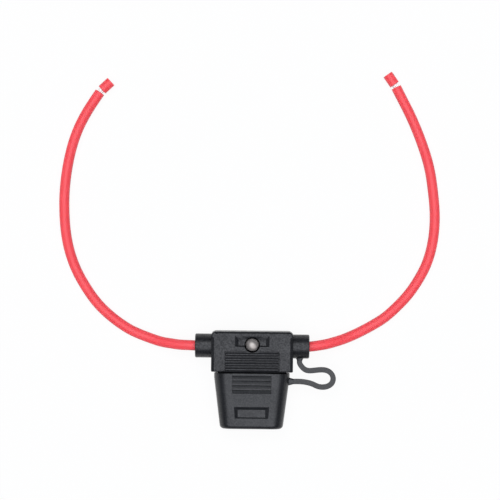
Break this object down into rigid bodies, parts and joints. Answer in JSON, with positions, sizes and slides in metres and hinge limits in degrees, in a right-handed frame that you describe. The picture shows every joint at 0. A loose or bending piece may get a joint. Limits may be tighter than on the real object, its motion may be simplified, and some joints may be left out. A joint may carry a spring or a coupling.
{
  "type": "inline blade fuse holder",
  "caption": "Black moulded inline holder for a standard blade fuse, with a tethered cap, a blown-fuse light and red wire leads.",
  "frame": {"origin": "on the table, at the middle of the housing's back face under the axis of the wire sleeves", "axes": "+X along the wire sleeves towards the tether, +Y away from the cap, +Z out of the front face with the light"},
  "size_m": [0.153, 0.1438, 0.014],
  "materials": {
    "black_plastic": "satin, fine moulded texture",
    "dark_plastic": "satin",
    "clear_resin": "polished, water clear",
    "tinned_metal": "bright tinned",
    "resistor_coat": "lacquered",
    "contact_metal": "rolled sheet",
    "wire_strands": "tinned, stranded",
    "red_insulation": "satin extruded",
    "fuse_plastic": "translucent",
    "fuse_metal": "plated"
  },
  "bodies": {
    "holder": {"housing": "black_plastic", "socket_block": "dark_plastic", "tether_strap": "black_plastic", "led_lens": "clear_resin", "led_cathode": "tinned_metal", "led_anode": "tinned_metal", "resistor_body": "resistor_coat", "resistor_inner_lead": "tinned_metal", "resistor_outer_lead": "tinned_metal", "left_terminal": "contact_metal", "right_terminal": "contact_metal", "left_crimped_strands": "wire_strands", "right_crimped_strands": "wire_strands", "left_lead": "red_insulation", "right_lead": "red_insulation", "left_bare_strands": "wire_strands", "right_bare_strands": "wire_strands", "left_insulation_slug": "red_insulation", "right_insulation_slug": "red_insulation", "fuse_body": "fuse_plastic", "fuse_element": "fuse_metal"},
    "cap": {"cap": "black_plastic"}
  },
  "joints": [
    {"name": "cap_pull", "type": "slide", "parent": "holder", "child": "cap", "axis": [0, -1, 0], "range_m": [0, 0.026], "deforming": ["tether_strap"]}
  ]
}
